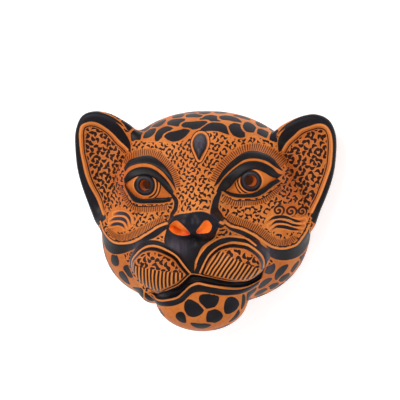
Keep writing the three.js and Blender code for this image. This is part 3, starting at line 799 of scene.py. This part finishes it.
def paint(points, normals, spots):
    """The design at each vertex: how deep inside each kind of mark it is."""
    x0, d, z0 = points.T
    x = x0 + wobble(z0, x0, 0.22, 4.1)
    z = z0 + wobble(x0, z0, 0.22, 4.7)
    bowl, rim, behind = ear_zones(x, z, x0, d, z0)
    on_front = np.where(behind, 0, rise(normals[:, 1], -0.15, 0.1)) > 0.5
    sides = [side_outlines(side, x, z, bowl, rim) for side in SIDES]
    black, light, dark, edging = [union(*pair) for pair in zip(*sides)]
    black, light, dark = [union(a, b) for a, b in zip((black, light, dark), middle_outlines(x, z))]
    dark = union(dark, *[curl(*place, x, z) for place in CURLS])
    nostril = union(*[inside(NOSTRIL_RINGS[side], x, z) for side in SIDES])
    black = np.minimum(black, -nostril)
    light = np.where(nostril > -1.5, -9, light)
    black, light, dark = [np.where(on_front, a, -9) for a in (black, light, dark)]
    black = union(black, edging)

    face = inside(FACE_RING, x, z)
    spot_zone = np.where(on_front, np.minimum(-face, -bowl), 9)
    clear_of_black = np.where(on_front & (black > -0.9), -black - 1.2, 9)
    spot = np.minimum(spot_depth(points, spots), clear_of_black)
    black = union(black, np.where(spot_zone > 0, np.minimum(spot, spot_zone - 0.6), -9))

    hatch, hatch_at = hatching(x, z)
    left, right = [inside(PAD_RINGS[side], x, z) for side in SIDES]
    lower_left = np.minimum(left - 0.8, -(z + 42 + 0.12 * (x + 30)))
    lower_right = np.minimum(right - 0.8, -(z + 23 + 0.475 * (x - 20)))
    stripe = np.minimum(np.where(x < 0, lower_left, lower_right), -black - 0.3)
    stripe_at = np.where(x < 0, x - 0.1 * (z + 50), 0.85 * x - 0.53 * z)

    ear_gap = np.minimum(*[stroke_gap(f"ear_line.{side}", x, z) for side in SIDES])
    marks = np.where(on_front, np.where(bowl > -1, ear_gap - 4.2, face), -9)
    marks = np.minimum(marks, -np.maximum(stripe, -9) + 0.3)
    marks = np.minimum(np.minimum(marks, -black - 0.9), 3 * (0.45 - hatch))
    marks = np.minimum(marks, -union(*[inside(BROW_GAPS[side], x, z) for side in SIDES]) - 0.5)
    for (across, up), (wide, tall) in VOLUTE_FIELDS:
        away = np.hypot((x - across) / wide, (z - up) / tall)
        marks = np.minimum(marks, (away - 1) * tall)

    coarse = union(rise(bowl, -3, -1), rise(union(left, right), -3, -1))
    coarse = union(coarse, 0.7 * np.where(on_front, rise(-face, 0, 1.5), 1))
    # redder clay at the inner sides of the ears, partly the clay's own tone and partly painted shade where
    # the ears meet the head
    rust_and_shade = np.exp(-hill(x0, -72, 11) - hill(z0, 34, 26)) + np.exp(-hill(x0, 78, 9) - hill(z0, 30, 26))
    return dict(
        black=black, light=light, dark=dark, marks=marks, coarse=coarse, rust_and_shade=rust_and_shade,
        hatch=np.where(on_front, hatch, 0), hatch_at=hatch_at,
        stripe=np.where(on_front, stripe, -9), stripe_at=stripe_at,
        # the red of painted shade sits deep in each nostril's inner lower corner; out_of_nostril_shade
        # rises from there outward
        nostril=np.where(on_front, nostril, -9), out_of_nostril_shade=rise(np.abs(x - 0.5) * 0.7 + (z + 9) * 0.8, 1, 11),
        sheen_and_wear=sheen_and_wear_field(x, z, inside(BOSS_RING, x, z), inside(MUZZLE_RING, x, z)),
    )


def paint_eye(side, points):
    """The iris, its rings and the corners of an eye."""
    x, _, z = points.T
    eye = EYES[side]
    x = x + wobble(z, x, 0.15, 3.1)
    away = np.hypot(x - eye["pupil"][0], z - eye["pupil"][1])
    toward_nose = (x - eye["pupil"][0]) * (1 if side == "left" else -1)
    black = np.minimum(IRIS - away, away - PUPIL + 0.25)
    light = 0.5 - np.abs(away - IRIS - 0.7)
    inner = toward_nose > 3
    light = np.maximum(light, np.where(inner, 0.55 - np.abs(away - IRIS - 3.3), -9))
    dark = np.where(inner, np.maximum(0.7 - np.abs(away - IRIS - 2.0), 0.6 - np.abs(away - IRIS - 4.6)), -9)
    nothing = np.full(len(x), -9.0)
    return dict(
        black=black, light=light, dark=dark, marks=nothing, stripe=nothing, nostril=nothing,
        hatch=0 * x, hatch_at=0 * x, stripe_at=0 * x, coarse=0 * x,
        # a grey ring of painted sheen lies round the pupil
        # inside the pupil's bore the redder clay is painted shade
        rust_and_shade=np.where(away < PUPIL, 1.0, 0.15), sheen_and_wear=0.6 * np.exp(-((away - PUPIL - 1.5) / 1.0) ** 2),
    )


def sample_front(picture, x, z):
    """The value of a map over the face at places between its nodes."""
    i = np.clip((x - GRID_LOW[0]) / STEP, 0, picture.shape[0] - 1.001)
    k = np.clip((z - GRID_LOW[2]) / STEP, 0, picture.shape[1] - 1.001)
    a, b = i.astype(int), k.astype(int)
    s, t = i - a, k - b
    return ((1 - s) * (1 - t) * picture[a, b] + s * (1 - t) * picture[a + 1, b]
            + (1 - s) * t * picture[a, b + 1] + s * t * picture[a + 1, b + 1])


def vertex_normals(points, faces):
    """Area-weighted normals of a quad mesh."""
    normals = np.zeros_like(points)
    cross = np.cross(points[faces[:, 2]] - points[faces[:, 0]], points[faces[:, 3]] - points[faces[:, 1]])
    for corner in range(4):
        np.add.at(normals, faces[:, corner], cross)
    return normals / (np.linalg.norm(normals, axis=1)[:, None] + 1e-9)


# ---- materials ----
def colour(red, green, blue):
    """An sRGB colour, 0 to 255, as Blender's linear one."""
    linear = [((c / 255 + 0.055) / 1.055) ** 2.4 if c > 10 else c / 255 / 12.92 for c in (red, green, blue)]
    return (*linear, 1.0)


class Nodes:
    """Short names for building one material."""

    def __init__(self, name):
        self.material = bpy.data.materials.new(name)
        self.material.use_nodes = True
        self.tree = self.material.node_tree
        self.shader = self.tree.nodes["Principled BSDF"]

    def add(self, kind, inputs=(), **settings):
        node = self.tree.nodes.new("ShaderNode" + kind)
        for key, value in settings.items():
            setattr(node, key, value)
        for key, value in dict(inputs).items():
            self.put(node.inputs[key], value)
        return node

    def put(self, socket, value):
        if isinstance(value, bpy.types.NodeSocket):
            self.tree.links.new(value, socket)
        else:
            socket.default_value = value

    def sum(self, operation, *values, clamp=False):
        return self.add("Math", dict(enumerate(values)), operation=operation, use_clamp=clamp).outputs[0]

    def times(self, *values, clamp=False):
        return self.sum("MULTIPLY", *values, clamp=clamp)

    def plus(self, *values):
        return self.sum("ADD", *values)

    def less(self, *values):
        return self.sum("SUBTRACT", *values)

    def look(self, name, value):
        self.put(self.shader.inputs[name], value)

    def step(self, value, low, high):
        """0 below low and 1 above high."""
        inputs = {"Value": value, "From Min": low, "From Max": high}
        return self.add("MapRange", inputs, interpolation_type="SMOOTHSTEP").outputs[0]

    def mix(self, part, first, second):
        node = self.add("Mix", data_type="RGBA")
        for socket, value in ((node.inputs[0], part), (node.inputs[6], first), (node.inputs[7], second)):
            self.put(socket, value)
        return node.outputs[2]

    def blend(self, part, first, second):
        node = self.add("Mix", data_type="FLOAT")
        for number, value in enumerate((part, first, second)):
            self.put(node.inputs[(0, 2, 3)[number]], value)
        return node.outputs[0]

    def noise(self, where, scale, detail=2.0, rough=0.5):
        inputs = {"Vector": where, "Scale": scale, "Detail": detail, "Roughness": rough}
        return self.add("TexNoise", inputs).outputs["Fac"]

    def read(self, name):
        return self.add("Attribute", attribute_name=name).outputs["Fac"]


ORANGE, ORANGE_PALE, ORANGE_DEEP = colour(200, 107, 38), colour(214, 128, 58), colour(158, 76, 28)
# RED_CLAY_AND_SHADE: a redder clay, partly painted shade
RED_CLAY_AND_SHADE = colour(184, 78, 24)
# SLIP_SHEEN: a bluish tint that stands for sheen on the black slip
SLIP, SLIP_SHEEN, SLIP_BROWN = colour(14, 10, 10), colour(20, 20, 30), colour(38, 19, 13)
# SLIP_GREY and SLIP_MAUVE: the painted sheen on the black slip
SLIP_GREY, SLIP_MAUVE = colour(62, 66, 84), colour(92, 74, 80)
MARK = colour(42, 18, 10)
# pale orange of scraped lines, also used for the painted highlight beside each comma cut
SCRATCH_AND_HIGHLIGHT = colour(232, 138, 72)
# the red deep in the nostrils is painted shade
NOSTRIL_ORANGE, NOSTRIL_SHADE_RED = colour(250, 120, 34), colour(205, 50, 22)
RAW, RAW_DARK = colour(176, 108, 70), colour(128, 76, 50)
STEEL_GREY, STEEL_BROWN = colour(150, 148, 144), colour(96, 78, 62)
TURN = 6.283
HATCH_PITCH, STRIPE_PITCH = 1.7, 3.3
# a comma mark's cell in millimetres, and its half width and half length in cells
FINE_MARKS, WIDE_MARKS = (3.9, 0.285, 0.56), (4.6, 0.35, 0.64)


def comma_marks(n, flat, pitch, thick, long):
    """Short bent cuts, one in each cell, each turned its own way: the cut and a painted highlight on the
    clay beside it.
    """
    place = n.add("VectorRotate", {"Vector": flat, "Angle": 0.5}, rotation_type="Z_AXIS").outputs[0]
    inputs = {"Vector": place, "Scale": 1 / pitch, "Randomness": 0.55}
    cells = n.add("TexVoronoi", inputs, voronoi_dimensions="2D")
    offset = n.add("VectorMath", {0: place, 1: cells.outputs["Position"]}, operation="SUBTRACT").outputs[0]
    local = n.add("VectorMath", {0: offset, 1: (1 / pitch,) * 3}, operation="MULTIPLY").outputs[0]
    random = n.add("SeparateColor", {"Color": cells.outputs["Color"]}).outputs
    angle = n.times(random[0], TURN)
    turned = n.add("VectorRotate", {"Vector": local, "Angle": angle}, rotation_type="Z_AXIS").outputs[0]
    parts = n.add("SeparateXYZ", {"Vector": turned}).outputs
    bend = n.times(n.times(parts[0], parts[0]), n.blend(random[1], 0.7, 1.7))
    across = n.sum("DIVIDE", n.less(n.plus(parts[1], bend), 0.1), thick)
    run = n.sum("DIVIDE", parts[0], long)
    reach = n.sum("SQRT", n.plus(n.times(across, across), n.times(run, run)))
    return n.step(reach, 1.1, 0.85), n.step(reach, 1.75, 1.3)


def painted_clay():
    n = Nodes("painted_clay")
    place = n.add("TexCoord").outputs["Object"]
    flat = n.add("Attribute", attribute_name="flat").outputs["Vector"]
    broad = n.noise(place, 22, 3)
    fine = n.noise(place, 260, 4, 0.6)
    grit = n.noise(place, 900, 3, 0.7)
    streak_at = n.add("Mapping", {"Vector": place, "Scale": (1, 1, 0.18)}).outputs[0]
    streak = n.noise(streak_at, 420, 2)
    ragged = n.noise(flat, 0.9, 2)
    wander = n.times(n.less(ragged, 0.5), 0.5)

    clay = n.mix(n.step(broad, 0.35, 0.7), ORANGE, ORANGE_PALE)
    clay = n.mix(n.times(n.step(fine, 0.45, 0.75), 0.5), clay, ORANGE_DEEP)
    # redder clay, partly painted shade: in the pupils' bores and where the ears meet the head
    clay = n.mix(n.times(n.read("rust_and_shade"), 0.75, clamp=True), clay, RED_CLAY_AND_SHADE)
    # darker clay where the marks are coarse: the ears' bowls, the pads and outside the patterned face; in
    # the ears this is partly painted shade
    clay = n.mix(n.times(n.read("coarse"), 0.35, clamp=True), clay, ORANGE_DEEP)

    fine_cut, fine_highlight = comma_marks(n, flat, *FINE_MARKS)
    wide_cut, wide_highlight = comma_marks(n, flat, *WIDE_MARKS)
    coarse = n.read("coarse")
    cut, cut_highlight = n.blend(coarse, fine_cut, wide_cut), n.blend(coarse, fine_highlight, wide_highlight)
    zone = n.step(n.read("marks"), -0.1, 0.4)
    # a painted highlight on the clay beside each cut
    clay = n.mix(n.times(zone, n.times(cut_highlight, 0.3)), clay, SCRATCH_AND_HIGHLIGHT)
    marked = n.times(zone, cut)
    clay = n.mix(marked, clay, MARK)

    beat = n.sum("SINE", n.times(n.read("hatch_at"), TURN / HATCH_PITCH))
    stroke_length = n.noise(n.add("CombineXYZ", {"X": n.read("hatch_at")}).outputs[0], 0.9, 2)
    uneven = n.times(n.less(stroke_length, 0.5), 1.1)
    hatch_zone = n.step(n.plus(n.read("hatch"), uneven), 0.4, 0.65)
    hatched = n.times(n.step(beat, -0.35, 0.35), hatch_zone)
    plain = n.mix(0.35, clay, ORANGE_DEEP)
    under_hatch = n.mix(hatch_zone, clay, plain)
    clay = n.mix(n.times(hatched, 0.85), under_hatch, MARK)

    rake = n.sum("SINE", n.times(n.read("stripe_at"), TURN / STRIPE_PITCH))
    raked = n.step(rake, -0.05, 0.45)
    stripe_zone = n.step(n.read("stripe"), -0.2, 0.4)
    clay = n.mix(stripe_zone, clay, n.mix(raked, MARK, ORANGE_PALE))

    # the bluish patches over the black slip are painted sheen
    slip = n.mix(n.step(broad, 0.3, 0.75), SLIP, SLIP_SHEEN)
    slip = n.mix(n.times(n.step(fine, 0.45, 0.75), 0.6), slip, SLIP_BROWN)
    # painted sheen: grey and mauve over the black slip, in streaks that also stand for slip rubbed thin
    painted_sheen = n.times(n.read("sheen_and_wear"), n.blend(n.step(streak, 0.35, 0.7), 0.55, 1.0), clamp=True)
    slip = n.mix(painted_sheen, slip, n.mix(broad, SLIP_GREY, SLIP_MAUVE))
    blackness = n.step(n.plus(n.read("black"), wander), -0.18, 0.3)
    scraped = n.step(n.plus(n.read("light"), n.times(wander, 0.6)), -0.2, 0.25)
    incised = n.step(n.plus(n.read("dark"), n.times(wander, 0.6)), -0.2, 0.25)
    skin = n.mix(blackness, clay, slip)
    skin = n.mix(n.times(scraped, 0.95), skin, n.mix(fine, ORANGE_PALE, SCRATCH_AND_HIGHLIGHT))
    skin = n.mix(incised, skin, MARK)
    hole = n.read("nostril")
    # the nostrils' orange clay, red deep inside as painted shade
    skin = n.mix(n.step(hole, -0.3, 0.3), skin, n.mix(n.read("out_of_nostril_shade"), NOSTRIL_SHADE_RED, NOSTRIL_ORANGE))
    bare = n.mix(n.step(fine, 0.3, 0.7), RAW, RAW_DARK)
    raw = n.step(n.read("raw"), 0.35, 0.65)
    skin = n.mix(raw, skin, bare)
    n.look("Base Color", skin)

    covered = n.times(blackness, n.less(1, scraped))
    gloss = n.blend(covered, n.blend(fine, 0.42, 0.6), n.blend(broad, 0.34, 0.5))
    n.look("Roughness", n.blend(raw, n.plus(gloss, n.times(grit, 0.06)), 0.85))
    height = n.plus(n.times(covered, 0.5), n.times(streak, 0.25))
    height = n.less(height, n.times(marked, 0.45))
    height = n.less(height, n.times(hatched, 0.3))
    height = n.plus(height, n.times(n.noise(place, 60, 2), 0.8))
    height = n.plus(height, n.times(grit, n.blend(raw, 0.06, 0.5)))
    bump = n.add("Bump", {"Height": height, "Strength": 0.35, "Distance": 0.0005})
    n.look("Normal", bump.outputs[0])
    n.look("Specular IOR Level", 0.17)
    return n.material


def steel():
    n = Nodes("hanging_steel")
    place = n.add("TexCoord").outputs["Object"]
    drawn = n.noise(n.add("Mapping", {"Vector": place, "Scale": (0.2, 1, 1)}).outputs[0], 900, 3)
    stain = n.noise(place, 90, 4, 0.6)
    n.look("Base Color", n.mix(n.step(stain, 0.5, 0.75), STEEL_GREY, STEEL_BROWN))
    n.look("Roughness", n.blend(drawn, 0.28, 0.55))
    n.look("Metallic", 1.0)
    bump = n.add("Bump", {"Height": drawn, "Strength": 0.3, "Distance": 0.0002})
    n.look("Normal", bump.outputs[0])
    return n.material


def raw_clay():
    n = Nodes("lug_clay")
    place = n.add("TexCoord").outputs["Object"]
    fine = n.noise(place, 260, 4, 0.6)
    n.look("Base Color", n.mix(n.step(fine, 0.3, 0.7), RAW, RAW_DARK))
    n.look("Roughness", n.blend(fine, 0.75, 0.95))
    bump = n.add("Bump", {"Height": n.noise(place, 500, 4, 0.7), "Strength": 0.5, "Distance": 0.0006})
    n.look("Normal", bump.outputs[0])
    return n.material


PAINTED, STEEL, LUG_CLAY = painted_clay(), steel(), raw_clay()


# ---- building the pieces ----
def build(name, points, faces, attributes):
    """One closed piece with its paint on its vertices, in place of its CAD node."""
    row = np.stack([points[:, 0], -points[:, 1], points[:, 2] + MIDDLE_UP], 1) / 1000
    mesh = bpy.data.meshes.new(name)
    mesh.vertices.add(len(row))
    mesh.vertices.foreach_set("co", row.astype(np.float32).ravel())
    mesh.loops.add(faces.size)
    mesh.loops.foreach_set("vertex_index", faces[:, ::-1].astype(np.int32).ravel())
    mesh.polygons.add(len(faces))
    mesh.polygons.foreach_set("loop_start", np.arange(0, faces.size, 4, dtype=np.int32))
    mesh.update(calc_edges=True)
    mesh.validate()
    mesh.shade_smooth()
    for key, values in attributes.items():
        layer = mesh.attributes.new(key, "FLOAT", "POINT")
        layer.data.foreach_set("value", np.clip(values, -200, 400).astype(np.float32))
    flat = np.stack([points[:, 0], points[:, 2], 0 * points[:, 0]], 1).astype(np.float32)
    mesh.attributes.new("flat", "FLOAT_VECTOR", "POINT").data.foreach_set("vector", flat.ravel())
    mesh.materials.append(PAINTED)
    piece = bpy.data.objects.new(name + "_fired", mesh)
    bpy.context.collection.objects.link(piece)
    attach(piece, "mask")
    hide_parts(name)
    return piece


NORMALS = {name: vertex_normals(*mesh) for name, mesh in MESHES.items()}
INNER = {}   # 1 on the unpainted clay of the hollow and the rim, 0 on the outside
for name, (points, _) in MESHES.items():
    hollow_gap = sample(HOLLOW, points)
    INNER[name] = np.maximum(1 - rise(hollow_gap, 1.5, 4), 1 - rise(points[:, 1], 0.3, 1.4))
outer = [INNER[name] < 0.2 for name in MESHES]
skin_points = np.vstack([points[keep] for (points, _), keep in zip(MESHES.values(), outer)])
skin_normals = np.vstack([NORMALS[name][keep] for name, keep in zip(MESHES, outer)])
beyond = inside(FACE_RING, skin_points[:, 0], skin_points[:, 2]) < -2
beyond |= skin_normals[:, 1] < -0.1
SPOTS = spot_list(skin_points[beyond], skin_normals[beyond])

for name, (points, faces) in MESHES.items():
    if name.startswith("eyeball"):
        marks = paint_eye(name.split("_")[1], points)
    else:
        shown = INNER[name] < 0.95
        marks = {}
        for key, values in paint(points[shown], NORMALS[name][shown], SPOTS).items():
            marks[key] = np.full(len(points), -9.0)
            marks[key][shown] = values
    marks["raw"] = INNER[name]
    build(name, points, faces, marks)

for name in ("hanger_lug_left", "hanger_lug_right", "hanging_wire"):
    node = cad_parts[name]
    node.data.materials.clear()
    node.data.materials.append(STEEL if name == "hanging_wire" else LUG_CLAY)


# ---- the wall behind, the light and the camera ----
def wall():
    mesh = bpy.data.meshes.new("wall")
    far, behind = 3.0, 0.0012
    corners = [(-far, behind, -far), (far, behind, -far), (far, behind, far), (-far, behind, far)]
    mesh.from_pydata(corners, [], [(0, 1, 2, 3)])
    plain = bpy.data.objects.new("wall", mesh)
    bpy.context.collection.objects.link(plain)
    n = Nodes("wall_white")
    n.look("Base Color", (0.94, 0.94, 0.94, 1))
    n.look("Roughness", 0.9)
    n.look("Specular IOR Level", 0.1)
    n.look("Emission Color", (1, 1, 1, 1))
    place = n.add("SeparateXYZ", {"Vector": n.add("TexCoord").outputs["Object"]}).outputs
    across = n.sum("DIVIDE", place[0], 0.085)
    up = n.sum("DIVIDE", n.less(place[2], MIDDLE_UP / 1000), 0.08)
    away = n.plus(n.times(across, across), n.times(up, up))
    n.look("Emission Strength", n.times(n.step(away, 0.9, 1.0), 0.42))
    shadows = n.add("LightPath").outputs["Is Shadow Ray"]
    hidden = n.sum("MAXIMUM", n.add("NewGeometry").outputs["Backfacing"], shadows)
    clear = n.add("BsdfTransparent").outputs[0]
    both = n.add("MixShader", {0: hidden, 1: n.shader.outputs[0], 2: clear}).outputs[0]
    n.put(n.tree.nodes["Material Output"].inputs["Surface"], both)
    mesh.materials.append(n.material)


def lamp(name, place, size, watts):
    """A white area light that faces the middle of the head."""
    data = bpy.data.lights.new(name, "AREA")
    data.shape = "RECTANGLE"
    data.size, data.size_y = size
    data.energy = watts
    light = bpy.data.objects.new(name, data)
    bpy.context.collection.objects.link(light)
    light.location = place
    light.rotation_euler = (Vector(LIT_AT) - Vector(place)).to_track_quat("-Z", "Y").to_euler()


LIT_AT = (0, 0, -0.07)
wall()
lamp("key", (-0.75, -1.3, 0.75), (0.9, 0.7), 18)
lamp("fill", (1.2, -1.1, 0.1), (0.9, 0.9), 5)
lamp("under", (0.1, -0.9, -1.0), (0.9, 0.5), 2)
lamp("behind", (0.4, 1.2, 0.6), (0.9, 0.9), 4)
world = bpy.data.worlds.new("daylight")
world.use_nodes = True
world.node_tree.nodes["Background"].inputs["Color"].default_value = (1, 1, 1, 1)
world.node_tree.nodes["Background"].inputs["Strength"].default_value = 0.5
scene = bpy.context.scene
scene.world = world
scene.view_settings.view_transform = "Standard"

AZIMUTH, ELEVATION, DISTANCE = math.radians(8), math.radians(6), 1.0
aim = Vector((-0.0015, -0.040, (MIDDLE_UP + 14) / 1000))
back = Vector((math.sin(AZIMUTH) * math.cos(ELEVATION), -math.cos(AZIMUTH) * math.cos(ELEVATION),
               math.sin(ELEVATION)))
camera_data = bpy.data.cameras.new("camera")
camera_data.lens = 100
camera_data.sensor_width = 36
camera = bpy.data.objects.new("camera", camera_data)
bpy.context.collection.objects.link(camera)
camera.location = aim + back * DISTANCE
camera.rotation_euler = back.to_track_quat("Z", "Y").to_euler()
scene.camera = camera
